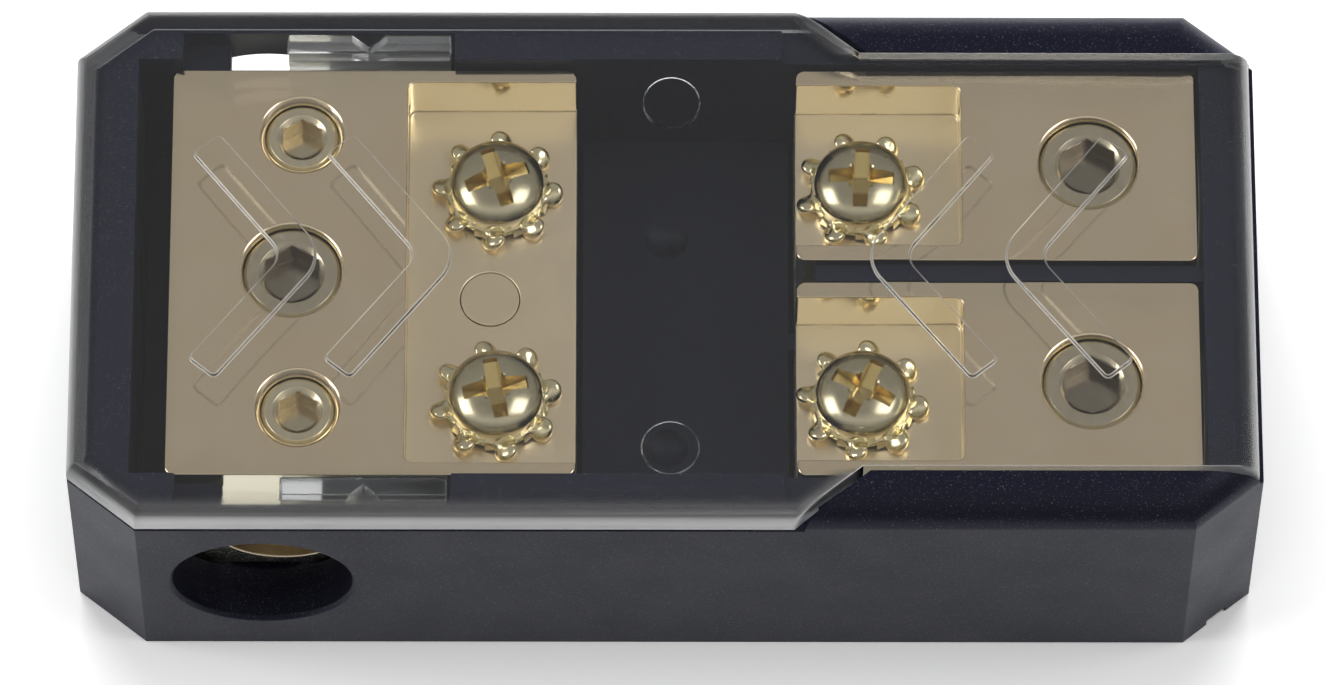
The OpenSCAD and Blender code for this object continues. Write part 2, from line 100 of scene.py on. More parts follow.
# Edge breaks on the copies of the solids, their bands and how round they are, and the angles that count as
# sharp, as flat and as a crease
HOUSING_EDGE = 0.08 * MM
COVER_EDGE = 0.12 * MM
BLOCK_EDGE = 0.12 * MM
SCREW_EDGE = 0.03 * MM
EDGE_SEGMENTS = 2
EDGE_PROFILE = 0.5
SHARP_ANGLE = radians(32)
FLAT_ANGLE = radians(0.4)
CREASE_COSINE = cos(radians(32))
MERGE_DISTANCE = 0.001 * MM
# Least divisors, for corners and points without a size
TINY_AREA = 1e-18
TINY_LENGTH = 1e-30
# The cover keeps its edges sharp under this height outside of the clips, which reach this far along X and Y
RIM_TOP = 23.1 * MM
CLIP_REACH = Vector((40 * MM, 21.2 * MM))
# Rounded edges above this height on the cover belong to its arrows, and gleam
ARROW_FOOT = 25.05 * MM

# Rails of the housing: top, radius of their rounded edges in the solid, where they start along X, how much
# further the rounding reaches inwards and down in the finished housing, and the slack in telling its points
RAIL_TOP = 24.75 * MM
RAIL_RADIUS = 2.1 * MM
RAIL_START = 11 * MM
RAIL_GAIN = Vector((1.46, 1.24))
RAIL_SLACK = 0.02 * MM
# Gap between the housing's lip and the cover's hanging rim, which the finished cover closes; the inner side
# of the rim along X and Y, and the share of it that counts as that side
LIP_GAP = 0.13 * MM
RIM_INNER = Vector((46.9 * MM, 21.65 * MM))
RIM_SHARE = 1.001
# Arrows on the cover: points and their sense along X, slope of the arms, half width, radii at the point, and
# the places along Y where the copy is cut to get points for them
ARROWS = ((-18.4 * MM, 1), (-29.4 * MM, 1), (17.65 * MM, -1), (28.65 * MM, -1))
ARROW_SLOPE = radians(50.9)
ARROW_HALF = 1.375 * MM
ARROW_OUTER_ROUND = 3.2 * MM
ARROW_INNER_ROUND = 1.69 * MM
ARROW_CUTS = tuple(step * 0.35 * MM for step in range(-6, 7))

# Outline of the cover, and the width of the band along it where the edge gathers light
COVER_HALF_LENGTH = 48.5 * MM
COVER_HALF_WIDTH = 23.25 * MM
CORNER_CUT = Vector((5.6 * MM, 4.5 * MM))
EDGE_BAND = 2.3 * MM
EDGE_GLEAM_POWER = 2.2
EDGE_FROST = 0.3
EDGE_FROST_RISE = 1.4
# Share of the gleam that is left at the left end and along the back, and the places between which it fades
LEFT_GLEAM = 0.2
LEFT_FADE = (-46 * MM, -42 * MM)
BACK_GLEAM = 0.27
BACK_FADE = (18 * MM, 21 * MM)
# Slanted edges where the cover narrows: their inner end, how far they lean along X for each length along Y,
# the width of their band, and where the band starts beyond the inner end
SLANT_END = Vector((16 * MM, 18.78 * MM))
SLANT_LEAN = CORNER_CUT.x / CORNER_CUT.y
SLANT_BAND = 1.6 * MM
SLANT_FADE = (0.05 * MM, 0.6 * MM)
# The upright sides of the narrow end: half the depth that counts as the side, and their frost
NARROW_SIDE = 0.1 * MM
NARROW_FROST = 0.8
# Clear plastic away from the edge, painted shade inside of it up to a share of the band, and as a lamp's
# light passes it
CLEAR_TONE = (0.97, 0.98, 0.985, 1)
EDGE_PAINTED_SHADE = (0.22, 0.225, 0.23, 1)
EDGE_CLEARS = 0.82
SHADOW_TONE = (0.93, 0.94, 0.94, 1)
CLEAR_IOR = 1.49
GLEAM_IOR = 3.8
GLEAM_ROUGHNESS = 0.42
# The clips under the plate: top, frost and gleam
CLIP_TOP = 22.6 * MM
CLIP_FROST = 0.18
CLIP_GLEAM = 0.6

# Colour sockets of Blender's Mix node: both inputs, and the output
MIX_INPUTS = (6, 7)
MIX_OUTPUT = 2

# Noises: scales are in cells for each metre, and bumps are a strength and a depth
FINE_GRAIN = 5000.0
SCREW_GRAIN = 3000.0
GRAIN_DETAIL = 3.0
FLECK_FINENESS = 1.7
FLECK_DETAIL = 1.0
FLECK_STEEPNESS = 14.0
DRIFT_DETAIL = 4.0
DRIFT_RANGE = (0.3, 0.7)

# Black plastic: tone, flecks and their threshold, gloss and its drift, highlights
PLASTIC_TONE = (0.0058, 0.0063, 0.0135, 1)
PLASTIC_FLECKS = (0.09, 0.094, 0.115, 1)
PLASTIC_FLECK_LEVEL = 0.66
PLASTIC_DRIFT = 180.0
PLASTIC_GLOSS = (0.4, 0.47)
PLASTIC_SPECULAR = 0.26
PLASTIC_TINT = (0.74, 0.78, 1, 1)
PLASTIC_BUMP = (0.5, 0.02 * MM)

# Gold plate: plain and deeper tones, roughness and depth of the grain by piece
BLOCK_TONES = ((1.0, 0.825, 0.58, 1), (0.985, 0.8, 0.55, 1))
BLOCK_ROUGHNESS = 0.13
BLOCK_GRAIN_DEPTH = 0.002 * MM
SCREW_TONES = ((0.66, 0.585, 0.4, 1), (0.62, 0.54, 0.35, 1))
SCREW_ROUGHNESS = 0.2
WASHER_TONES = ((0.9, 0.79, 0.53, 1), (0.86, 0.74, 0.46, 1))
WASHER_ROUGHNESS = 0.19
SCREW_GRAIN_DEPTH = 0.003 * MM
# All gold plate: drift of its tone and of its gloss, strength of its bump
PLATE_DRIFT = 150.0
GLOSS_DRIFT = 400.0
GLOSS_SPREAD = 0.02
PLATE_BUMP = 0.6
# Walls of the plate: upward parts of the normal between which a wall turns into a top, a lighter tone painted
#  on the walls for the light they catch, and change of roughness
WALL_FACING = (0.2, 0.5)
WALL_PAINTED_LIGHT = (1.0, 0.94, 0.72, 1)
WALL_ROUGHENING = -0.05
# Floor of a block's step: height above it and ramp where its finish ends, change of roughness, its own grain
# and bump
STEP_ABOVE = 0.3 * MM
STEP_RAMP = 0.3 * MM
STEP_ROUGHENING = 0.19
STEP_GRAIN = 1.3
STEP_FLECK_LEVEL = 0.54
STEP_BUMP = 1.6

# Set screws: tone of the ring, and painted shade on the socket's walls and, less deep, on its floor; depths
# of
#  the last two below the top, with their ramps; gloss and its drift, and bump
NICKEL_RING_AND_SOCKET_SHADE = ((0.68, 0.59, 0.43, 1), (0.16, 0.128, 0.092, 1), (0.36, 0.31, 0.23, 1))
SOCKET_GOLD_RING_AND_SHADE = ((0.86, 0.75, 0.52, 1), (0.5, 0.4, 0.24, 1), (0.7, 0.6, 0.4, 1))
SOCKET_RIM = 0.35 * MM
SOCKET_RIM_RAMP = 0.15 * MM
SOCKET_FLOOR = 2.35 * MM
SOCKET_FLOOR_RAMP = 0.1 * MM
SOCKET_DRIFT = 900.0
SOCKET_GLOSS = (0.17, 0.24)
SOCKET_BUMP = (0.3, 0.004 * MM)

# Fuse screws: turns in degrees, head and dome, shank, and the round of the rim with the share of its middle
# step
SCREW_TURNS = {"input_rear": 19, "input_front": 11, "output_rear": -3, "output_front": 63}
HEAD_RADIUS = 3.94 * MM
HEAD_HEIGHT = 2.8 * MM
DOME_POWER = 2.2
DOME_HEIGHT = 1.95 * MM
SHANK_RADIUS = 2 * MM
SCREW_RIM = 0.2 * MM
SCREW_RIM_STEP = 0.3
# Cross recess: depths in the middle and at the ends of the wings, painted shade tone in the recess and where
# it
#  fades in, and, as shares of the head's radius, reach and half width of the wings, radius of the middle
#  cone, and width of a wall
CROSS_DEPTH = 2.1 * MM
CROSS_END_DEPTH = 0.98 * MM
RECESS_PAINTED_SHADE = (0.62, 0.47, 0.19, 1)
RECESS_SHADE_FADE = 0.25 * MM
CROSS_REACH = 2.7 * MM / HEAD_RADIUS
CROSS_HALF = 0.66 * MM / HEAD_RADIUS
CROSS_CONE = 1.25 * MM / HEAD_RADIUS
CROSS_WALL = 0.1 * MM / HEAD_RADIUS
# Grid lines from the middle of a head to a wing's side, to the wing's end and to the rim
HEAD_LINES = (7, 12, 12)

# Washers: turns in degrees, sections round the ring, points across its top or underside, crowded towards the
# rim, and sizes
WASHER_TURNS = {"input_rear": 41, "input_front": 11, "output_rear": 16, "output_front": 38}
WASHER_TEETH = 8
WASHER_SECTIONS = 540
WASHER_POINTS = 16
WASHER_CROWDING = 1.8
WASHER_RING = 4.3 * MM
WASHER_HOLE = 2.3 * MM
WASHER_THICKNESS = 0.68 * MM
WASHER_HALF_BOX = 0.69 * MM
WASHER_INSET = 0.05 * MM
WASHER_END_ROUND = 0.45 * MM
# Teeth: radius where they start and length over which they form, half width as a share of the pitch,
# swelling, least height of their crown (squared) and twist
TOOTH_ROOT = 4.0 * MM
TOOTH_BLEND = 0.45 * MM
TOOTH_SHARE = 0.27
TOOTH_SWELL = 0.55
TOOTH_CROWN = 0.04
TOOTH_TWIST = radians(24)


def feed(tree, sockets, values):
    """Sets sockets, by name or number, to plain values, or links them to the sockets given for them."""
    for key, value in values.items():
        if isinstance(value, bpy.types.NodeSocket):
            tree.links.new(value, sockets[key])
        else:
            sockets[key].default_value = value


def add(tree, kind, inputs=None, **settings):
    """One shader node: settings are its own properties, inputs are values or sockets by name or number."""
    node = tree.nodes.new("ShaderNode" + kind)
    for key, value in settings.items():
        setattr(node, key, value)
    feed(tree, node.inputs, inputs or {})
    return node


def maths(tree, operation, *values, clamp=False):
    """Result of an operation on values or sockets."""
    return add(tree, "Math", dict(enumerate(values)), operation=operation, use_clamp=clamp).outputs[0]


def combined(tree, operation, values):
    """Result of an operation carried through several values, one after the other."""
    result = values[0]
    for value in values[1:]:
        result = maths(tree, operation, result, value)
    return result


def ranged(tree, value, start, end, low=0.0, high=1.0):
    """Runs evenly from low to high while a value runs from start to end, and stays there beyond them."""
    limits = {"From Min": start, "From Max": end, "To Min": low, "To Max": high}
    return add(tree, "MapRange", {"Value": value, **limits}).outputs["Result"]


def mixed(tree, share, colour, other):
    """A colour that turns into another while the share goes from 0 to 1."""
    inputs = {"Factor": share, **dict(zip(MIX_INPUTS, (colour, other)))}
    return add(tree, "Mix", inputs, data_type="RGBA").outputs[MIX_OUTPUT]


def noise(tree, where, scale, detail):
    """Even noise over a place."""
    return add(tree, "TexNoise", {"Vector": where, "Scale": scale, "Detail": detail}).outputs["Fac"]


def parts_of(tree, where):
    """X, Y and Z of a place."""
    return add(tree, "SeparateXYZ", {0: where}).outputs


def effect_group(name, inputs, outputs):
    """An empty shader node group: takes a place, called Vector, and values by name with their defaults, and
    gives values by name. Returns its tree, its inputs and its outputs."""
    tree = bpy.data.node_groups.new(name, "ShaderNodeTree")
    tree.interface.new_socket("Vector", in_out="INPUT", socket_type="NodeSocketVector")
    for label, default in inputs.items():
        socket = tree.interface.new_socket(label, in_out="INPUT", socket_type="NodeSocketFloat")
        socket.default_value = default
    for label in outputs:
        tree.interface.new_socket(label, in_out="OUTPUT", socket_type="NodeSocketFloat")
    return tree, tree.nodes.new("NodeGroupInput").outputs, tree.nodes.new("NodeGroupOutput").inputs


def grain_group():
    """Fine surface grain: a noise height, and flecks where a finer noise passes a threshold."""
    defaults = {"Scale": 1500.0, "Fleck Level": 0.64}
    tree, given, out = effect_group("surface_grain", defaults, ("Height", "Fleck"))
    height = noise(tree, given["Vector"], given["Scale"], GRAIN_DETAIL)
    finer = maths(tree, "MULTIPLY", given["Scale"], FLECK_FINENESS)
    specks = noise(tree, given["Vector"], finer, FLECK_DETAIL)
    over = maths(tree, "SUBTRACT", specks, given["Fleck Level"])
    fleck = maths(tree, "MULTIPLY", over, FLECK_STEEPNESS, clamp=True)
    feed(tree, out, {"Height": height, "Fleck": fleck})
    return tree


def drift_group():
    """Slow variation over the surface: a coarse noise mapped between two values."""
    tree, given, out = effect_group("slow_drift", {"Scale": 120.0, "Low": 0.3, "High": 0.5}, ("Value",))
    coarse = noise(tree, given["Vector"], given["Scale"], DRIFT_DETAIL)
    feed(tree, out, {"Value": ranged(tree, coarse, *DRIFT_RANGE, given["Low"], given["High"])})
    return tree


def below_group():
    """Mask of what lies below a height: 1 under the level, 0 above it, with a short ramp."""
    tree, given, out = effect_group("below_level", {"Level": 17 * MM, "Ramp": 0.2 * MM}, ("Mask",))
    top = maths(tree, "ADD", given["Level"], given["Ramp"])
    height = parts_of(tree, given["Vector"])["Z"]
    feed(tree, out, {"Mask": ranged(tree, height, given["Level"], top, 1.0, 0.0)})
    return tree


def outline_band(tree, where):
    """Band inside of the cover's outline, rising evenly from 0 to 1 at the nearest side or cut corner."""
    away = add(tree, "VectorMath", {0: where}, operation="ABSOLUTE").outputs[0]
    plan = parts_of(tree, away)
    cut = Vector((CORNER_CUT.y, CORNER_CUT.x, 0)).normalized()
    cut_reach = cut.x * COVER_HALF_LENGTH + cut.y * (COVER_HALF_WIDTH - CORNER_CUT.y)
    towards_cut = add(tree, "VectorMath", {0: away, 1: cut}, operation="DOT_PRODUCT").outputs["Value"]
    sides = ((plan["X"], COVER_HALF_LENGTH), (plan["Y"], COVER_HALF_WIDTH), (towards_cut, cut_reach))
    bands = [ranged(tree, distance, reach - EDGE_BAND, reach) for distance, reach in sides]
    return combined(tree, "MAXIMUM", bands)


def slant_band(tree, where):
    """Band along the slanted edges where the cover narrows, the same on both long sides."""
    parts = parts_of(tree, where)
    across = maths(tree, "ABSOLUTE", parts["Y"])
    folded = add(tree, "CombineXYZ", {"X": parts["X"], "Y": across}).outputs[0]
    lean = Vector((1, SLANT_LEAN, 0)).normalized()
    reach = lean.x * SLANT_END.x + lean.y * SLANT_END.y
    along = add(tree, "VectorMath", {0: folded, 1: lean}, operation="DOT_PRODUCT").outputs["Value"]
    near = ranged(tree, along, reach - SLANT_BAND, reach)
    wide = ranged(tree, across, *(SLANT_END.y + start for start in SLANT_FADE))
    return maths(tree, "MULTIPLY", near, wide)


def narrow_side(tree, where):
    """Mask of the thin upright sides of the cover's narrow end."""
    parts = parts_of(tree, where)
    across = maths(tree, "ABSOLUTE", parts["Y"])
    beyond = maths(tree, "GREATER_THAN", parts["X"], SLANT_END.x)
    side = maths(tree, "COMPARE", across, SLANT_END.y, NARROW_SIDE)
    return maths(tree, "MULTIPLY", beyond, side)


def edge_band_group():
    """Band along the outer edges of the cover: 0 inside of it, rising evenly to 1 at the edge; a mask that
    rises steeply in the same band, less at the left end and along the back; and the narrow end's sides."""
    tree, given, out = effect_group("edge_band", {}, ("Band", "Mask", "Side"))
    where = given["Vector"]
    band = maths(tree, "MAXIMUM", outline_band(tree, where), slant_band(tree, where))
    parts = parts_of(tree, where)
    steep = maths(tree, "POWER", band, EDGE_GLEAM_POWER)
    left = ranged(tree, parts["X"], *LEFT_FADE, LEFT_GLEAM, 1.0)
    back = ranged(tree, parts["Y"], *BACK_FADE, 1.0, BACK_GLEAM)
    gleam = combined(tree, "MULTIPLY", (steep, left, back))
    feed(tree, out, {"Band": band, "Mask": gleam, "Side": narrow_side(tree, where)})
    return tree


def clip_group():
    """Mask of the cover's clips: 1 under the plate, between the long rims and in the input half, else 0."""
    tree, given, out = effect_group("clip_mask", {}, ("Mask",))
    parts = parts_of(tree, given["Vector"])
    across = maths(tree, "ABSOLUTE", parts["Y"])
    limits = ((parts["Z"], CLIP_TOP), (across, CLIP_REACH.y), (parts["X"], 0.0))
    inside = [maths(tree, "LESS_THAN", place, limit) for place, limit in limits]
    feed(tree, out, {"Mask": combined(tree, "MULTIPLY", inside)})
    return tree


GRAIN = grain_group()
DRIFT = drift_group()
BELOW = below_group()
EDGE_GLEAM = edge_band_group()
CLIPS = clip_group()


def place_group(tree, group, where, **values):
    """The outputs of a node group placed in a material; values go by the names of its inputs, with _ for a
    space."""
    inputs = {key.replace("_", " "): value for key, value in values.items()}
    return add(tree, "Group", {"Vector": where, **inputs}, node_tree=group).outputs


def drifting(tree, where, scale, low, high):
    """A value that drifts between two others over the surface."""
    return place_group(tree, DRIFT, where, Scale=scale, Low=low, High=high)["Value"]


def below(tree, where, level, ramp):
    """Mask of what lies below a level."""
    return place_group(tree, BELOW, where, Level=level, Ramp=ramp)["Mask"]


def bumped(tree, height, strength, depth):
    """Normal of a surface with a height of a real depth."""
    return add(tree, "Bump", {"Height": height, "Strength": strength, "Distance": depth}).outputs["Normal"]


def mesh_mark(tree, name):
    """A value that the mesh carries."""
    return add(tree, "Attribute", attribute_name=name).outputs["Fac"]


def new_material(name):
    """A material: returns it, its tree, its Principled shader and object coordinates."""
    material = bpy.data.materials.new(name)
    material.use_nodes = True
    tree = material.node_tree
    where = add(tree, "TexCoord").outputs["Object"]
    return material, tree, tree.nodes["Principled BSDF"], where


def black_plastic():
    """Moulded black plastic: fine grain, sparse pale flecks, slightly uneven gloss."""
    material, tree, shader, where = new_material("black_plastic")
    grain = place_group(tree, GRAIN, where, Scale=FINE_GRAIN, Fleck_Level=PLASTIC_FLECK_LEVEL)
    feed(tree, shader.inputs, {
        "Base Color": mixed(tree, grain["Fleck"], PLASTIC_TONE, PLASTIC_FLECKS),
        "Roughness": drifting(tree, where, PLASTIC_DRIFT, *PLASTIC_GLOSS),
        "Specular IOR Level": PLASTIC_SPECULAR,
        "Specular Tint": PLASTIC_TINT,
        "Normal": bumped(tree, grain["Height"], *PLASTIC_BUMP),
    })
    return material


def clear_plastic():
    """Clear moulded plastic that lets lamps through, frosted on its clips, on the narrow end's sides and
    towards its outer edge, where painted shade darkens it inside and it gleams outside."""
    material, tree, shader, where = new_material("clear_plastic")
    edge = place_group(tree, EDGE_GLEAM, where)
    clip = place_group(tree, CLIPS, where)["Mask"]
    gleams = (edge["Mask"], mesh_mark(tree, "edge_round"), maths(tree, "MULTIPLY", clip, CLIP_GLEAM))
    soon = maths(tree, "MULTIPLY", edge["Band"], EDGE_FROST_RISE, clamp=True)
    frosted = ((soon, EDGE_FROST), (clip, CLIP_FROST), (edge["Side"], NARROW_FROST))
    frosts = [maths(tree, "MULTIPLY", mask, frost) for mask, frost in frosted]
    # Painted shade: the plastic's colour turns dark inside the edge band and clears again near the edge
    within = ranged(tree, edge["Band"], EDGE_CLEARS, 1.0, 1.0, 0.0)
    painted_edge_shade = maths(tree, "MULTIPLY", soon, within)
    feed(tree, shader.inputs, {
        "Base Color": mixed(tree, painted_edge_shade, CLEAR_TONE, EDGE_PAINTED_SHADE),
        "Transmission Weight": 1,
        "IOR": CLEAR_IOR,
        "Roughness": combined(tree, "MAXIMUM", frosts),
        "Coat IOR": GLEAM_IOR,
        "Coat Roughness": GLEAM_ROUGHNESS,
        "Coat Weight": combined(tree, "MAXIMUM", gleams),
    })
    lamp = add(tree, "LightPath").outputs["Is Shadow Ray"]
    passing = add(tree, "BsdfTransparent", {"Color": SHADOW_TONE}).outputs[0]
    surface = add(tree, "MixShader", {0: lamp, 1: shader.outputs[0], 2: passing}).outputs[0]
    feed(tree, tree.nodes["Material Output"].inputs, {"Surface": surface})
    return material


def step_finish(tree, where, level, grain_scale, upright, gloss, height):
    """Gloss and height of a stepped block: glossier on upright walls, duller and coarser below the level."""
    mask = below(tree, where, level, STEP_RAMP)
    coarse = place_group(tree, GRAIN, where, Scale=grain_scale * STEP_GRAIN, Fleck_Level=STEP_FLECK_LEVEL)
    satin = maths(tree, "MULTIPLY_ADD", upright, WALL_ROUGHENING, gloss)
    dull = maths(tree, "MULTIPLY_ADD", mask, STEP_ROUGHENING, satin)
    flecks = maths(tree, "MULTIPLY", mask, coarse["Fleck"])
    return dull, maths(tree, "MULTIPLY_ADD", flecks, STEP_BUMP, height)


def plated(name, tones, roughness, grain_scale, grain_depth, step_level=None):
    """Gold plate: a tone drifting to a deeper one, with painted light making walls lighter and yellower and
    painted shade making it browner where the mesh marks a recess, satin gloss and fine grain; with a step
    level also the finish of a step below it."""
    material, tree, shader, where = new_material(name)
    height = place_group(tree, GRAIN, where, Scale=grain_scale)["Height"]
    gloss = drifting(tree, where, GLOSS_DRIFT, roughness - GLOSS_SPREAD, roughness + GLOSS_SPREAD)
    plain = mixed(tree, drifting(tree, where, PLATE_DRIFT, 0.0, 1.0), *tones)
    facing = parts_of(tree, add(tree, "NewGeometry").outputs["True Normal"])["Z"]
    upright = ranged(tree, facing, *WALL_FACING, 1.0, 0.0)
    # Painted light: upright faces get a lighter, yellower tone for the light they catch
    painted_wall_light = mixed(tree, upright, plain, WALL_PAINTED_LIGHT)
    if step_level is not None:
        gloss, height = step_finish(tree, where, step_level, grain_scale, upright, gloss, height)
    feed(tree, shader.inputs, {
        # Painted shade: where the mesh marks a recess the plate turns a darker brown
        "Base Color": mixed(tree, mesh_mark(tree, "recess"), painted_wall_light, RECESS_PAINTED_SHADE),
        "Metallic": 1,
        "Roughness": gloss,
        "Normal": bumped(tree, height, PLATE_BUMP, grain_depth),
    })
    return material


def socket_plate(name, rim_tone, wall_painted_shade, floor_painted_shade, top):
    """Plate on a socket set screw: one tone on its ring, painted shade in a deeper tone on the walls of the
    socket, and a third, less deep painted shade on the socket's floor, each below its own level."""
    material, tree, shader, where = new_material(name)
    height = place_group(tree, GRAIN, where, Scale=FINE_GRAIN)["Height"]
    wall = below(tree, where, top - SOCKET_RIM, SOCKET_RIM_RAMP)
    floor = below(tree, where, top - SOCKET_FLOOR, SOCKET_FLOOR_RAMP)
    feed(tree, shader.inputs, {
        # Painted shade: the socket's walls and floor are darkened below the top
        "Base Color": mixed(tree, floor, mixed(tree, wall, rim_tone, wall_painted_shade), floor_painted_shade),
        "Metallic": 1,
        "Roughness": drifting(tree, where, SOCKET_DRIFT, *SOCKET_GLOSS),
        "Normal": bumped(tree, height, *SOCKET_BUMP),
    })
    return material


def node_body(node):
    """The name of the body that carries a solid."""
    return frame["nodes"][node]["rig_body"]


def stand_for(piece, node):
    """A piece takes a solid's place and moves with its body."""
    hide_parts(node)
    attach(piece, node_body(node))


def placed(name, data):
    """A new object in the scene, at the origin."""
    thing = bpy.data.objects.new(name, data)
    bpy.context.scene.collection.objects.link(thing)
    return thing


def values_of(items, key, kind):
    """One property of all the points, faces or corners of a mesh."""
    values = np.zeros(len(items), kind)
    items.foreach_get(key, values)
    return values


def vectors_of(items, key):
    """One vector property of all the points or faces of a mesh, in rows."""
    values = np.zeros(len(items) * 3, np.float32)
    items.foreach_get(key, values)
    return values.reshape(-1, 3).astype(float)


def corner_angles(place, start, count, face):
    """Angle of a face at each of its corners: place and face go by corner, start and count by face."""
    order = np.arange(len(face)) - start[face]
    ahead = start[face] + (order + 1) % count[face]
    behind = start[face] + (order - 1) % count[face]
    to_next, to_last = place[ahead] - place, place[behind] - place
    lengths = np.linalg.norm(to_next, axis=1) * np.linalg.norm(to_last, axis=1)
    cosine = (to_next * to_last).sum(1) / np.maximum(lengths, TINY_AREA)
    return np.arccos(np.clip(cosine, -1, 1))


def weighted_normals(mesh):
    """Corner normals: at each point the normals of its faces averaged by area and corner angle, so that flats
    stay flat and narrow edge rounds blend between them; a face that turns away sharply keeps its own."""
    start = values_of(mesh.polygons, "loop_start", np.int32)
    count = values_of(mesh.polygons, "loop_total", np.int32)
    area = values_of(mesh.polygons, "area", np.float32)
    point = values_of(mesh.loops, "vertex_index", np.int32)
    face = np.repeat(np.arange(len(count)), count)
    own = vectors_of(mesh.polygons, "normal")[face]
    place = vectors_of(mesh.vertices, "co")[point]
    weight = area[face] * corner_angles(place, start, count, face)
    total = np.zeros((len(mesh.vertices), 3))
    np.add.at(total, point, own * weight[:, None])
    total /= np.maximum(np.linalg.norm(total, axis=1), TINY_LENGTH)[:, None]
    shared = total[point]
    turned = (shared * own).sum(1) < CREASE_COSINE
    mesh.normals_split_custom_set(np.where(turned[:, None], own, shared).tolist())


def straight_arms(across, corner):
    """Place along an arrow of its straight arms, over the distance from its middle line, where they meet at
    the corner."""
    return corner - abs(across) * cos(ARROW_SLOPE) / sin(ARROW_SLOPE)


def rounded_arms(across, radius, corner):
    """The same with a circle that touches both arms in place of the corner."""
    turn = radius * cos(ARROW_SLOPE)
    circle = corner - radius / sin(ARROW_SLOPE) + np.sqrt(np.clip(radius ** 2 - across ** 2, 0, None))
    return np.where(abs(across) < turn, circle, straight_arms(across, corner))


def arrow_contours(across):
    """Contours of an arrow, outer and inner, each as it is in the solid and rounder."""
    corner = ARROW_HALF / sin(ARROW_SLOPE)
    chord = -corner - ARROW_HALF * cos(ARROW_SLOPE)
    return (
        (rounded_arms(across, ARROW_HALF, corner), rounded_arms(across, ARROW_OUTER_ROUND, corner)),
        (np.minimum(chord, straight_arms(across, -corner)), rounded_arms(across, ARROW_INNER_ROUND, -corner)),
    )


def rounder_arrows(points):
    """Points of the cover with its arrows turned on larger circles: a point follows the nearest contour of an
    arrow, less with its distance from it along X."""
    x, y, z = points.T
    contours = arrow_contours(y)
    moved = points.copy()
    for point, sense in ARROWS:
        along = sense * (x - point)
        for plain, rounder in contours:
            share = np.clip(1 - abs(along - plain) / ARROW_HALF, 0, 1) * (z > ARROW_FOOT)
            moved[:, 0] += sense * share * (rounder - plain)
    return moved


def closed_rim(points):
    """Points of the cover with the inner side of its hanging rim drawn in to the lip of the housing."""
    x, y, z = points.T
    inset = np.maximum(abs(x) / RIM_INNER.x, abs(y) / RIM_INNER.y)
    clip = (abs(x) < CLIP_REACH.x) & (abs(y) < CLIP_REACH.y)
    inner = (z < RIM_TOP) & ~clip & (inset < RIM_SHARE) & (x < SLANT_END.x)
    moved = points.copy()
    moved[inner, :2] -= np.stack([x / RIM_INNER.x, y / RIM_INNER.y], -1)[inner] * LIP_GAP
    return moved


def finished_cover(points):
    """Points of the cover with rounder arrows and its rim closed up to the lip."""
    return closed_rim(rounder_arrows(points))


def finished_housing(points):
    """Points of the housing with fuller rails: each point on a rail's rounded edge moves away from the sharp
    edge in proportion, along the surfaces that end the rounding."""
    plan = np.stack([points[:, 0], abs(points[:, 1])], -1)
    drop = RAIL_TOP - points[:, 2]
    cut = np.array((CORNER_CUT.y, CORNER_CUT.x)) / CORNER_CUT.length
    side = np.array((0, 1))
    from_side = COVER_HALF_WIDTH - plan @ side
    from_cut = cut @ (COVER_HALF_LENGTH, COVER_HALF_WIDTH - CORNER_CUT.y) - plan @ cut
    inset = np.minimum(from_side, from_cut)
    reach = RAIL_RADIUS + RAIL_SLACK
    rounding = (plan[:, 0] > RAIL_START) & (drop > -MERGE_DISTANCE) & (drop < reach) & (inset < reach)
    level = abs(from_side - from_cut) < RAIL_SLACK
    families = (
        (level, (side, cut), (-1, -1)),
        (~level & (from_side < from_cut), (side, (1, SLANT_LEAN)), (-1, 0)),
        (~level & (from_cut < from_side), (cut, side), (-1, 0)),
    )
    for chosen, directions, speeds in families:
        inward = np.linalg.solve(np.array(directions, float), np.array(speeds, float))
        chosen = chosen & rounding
        plan[chosen] += inset[chosen, None] * (RAIL_GAIN.x - 1) * inward
    moved = np.column_stack([plan[:, 0], np.copysign(plan[:, 1], points[:, 1]), points[:, 2]])
    moved[rounding, 2] = RAIL_TOP - drop[rounding] * RAIL_GAIN.y
    return moved


def cut_across(work, places):
    """Cuts all faces at places along Y, which adds points there."""
    for place in places:
        everything = work.verts[:] + work.edges[:] + work.faces[:]
        bmesh.ops.bisect_plane(work, geom=everything, dist=MERGE_DISTANCE, plane_co=(0, place, 0),
                               plane_no=(0, 1, 0))


def move_points(work, mesh, reshape):
    """Moves all points at once by a function of their places, and joins the faces that lie flat beside each
    other."""
    work.to_mesh(mesh)
    points = reshape(vectors_of(mesh.vertices, "co"))
    mesh.vertices.foreach_set("co", points.astype(np.float32).ravel())
    mesh.update()
    work.clear()
    work.from_mesh(mesh)
    bmesh.ops.dissolve_limit(work, angle_limit=FLAT_ANGLE, verts=work.verts, edges=work.edges)


def break_edges(work, width, breaks):
    """Rounds the sharp edges whose middles the test breaks lets through, and marks the rounds on arrows."""
    mark = work.faces.layers.float.new("edge_round")
    sharp = [line for line in work.edges if line.calc_face_angle(0) > SHARP_ANGLE]
    sharp = [line for line in sharp if breaks((line.verts[0].co + line.verts[1].co) / 2)]
    rounds = bmesh.ops.bevel(work, geom=sharp, offset=width, segments=EDGE_SEGMENTS, profile=EDGE_PROFILE,
                             affect="EDGES", clamp_overlap=False, loop_slide=False)
    for face in rounds["faces"]:
        face[mark] = float(face.calc_center_median().z > ARROW_FOOT)
    for line in work.edges:
        line.smooth = True


def any_edge(middle):
    """Every sharp edge is rounded."""
    return True


def cover_edge(middle):
    """Edges of the cover that are rounded: all but those of its hanging rim."""
    return middle.z > RIM_TOP or (abs(middle.x) < CLIP_REACH.x and abs(middle.y) < CLIP_REACH.y)


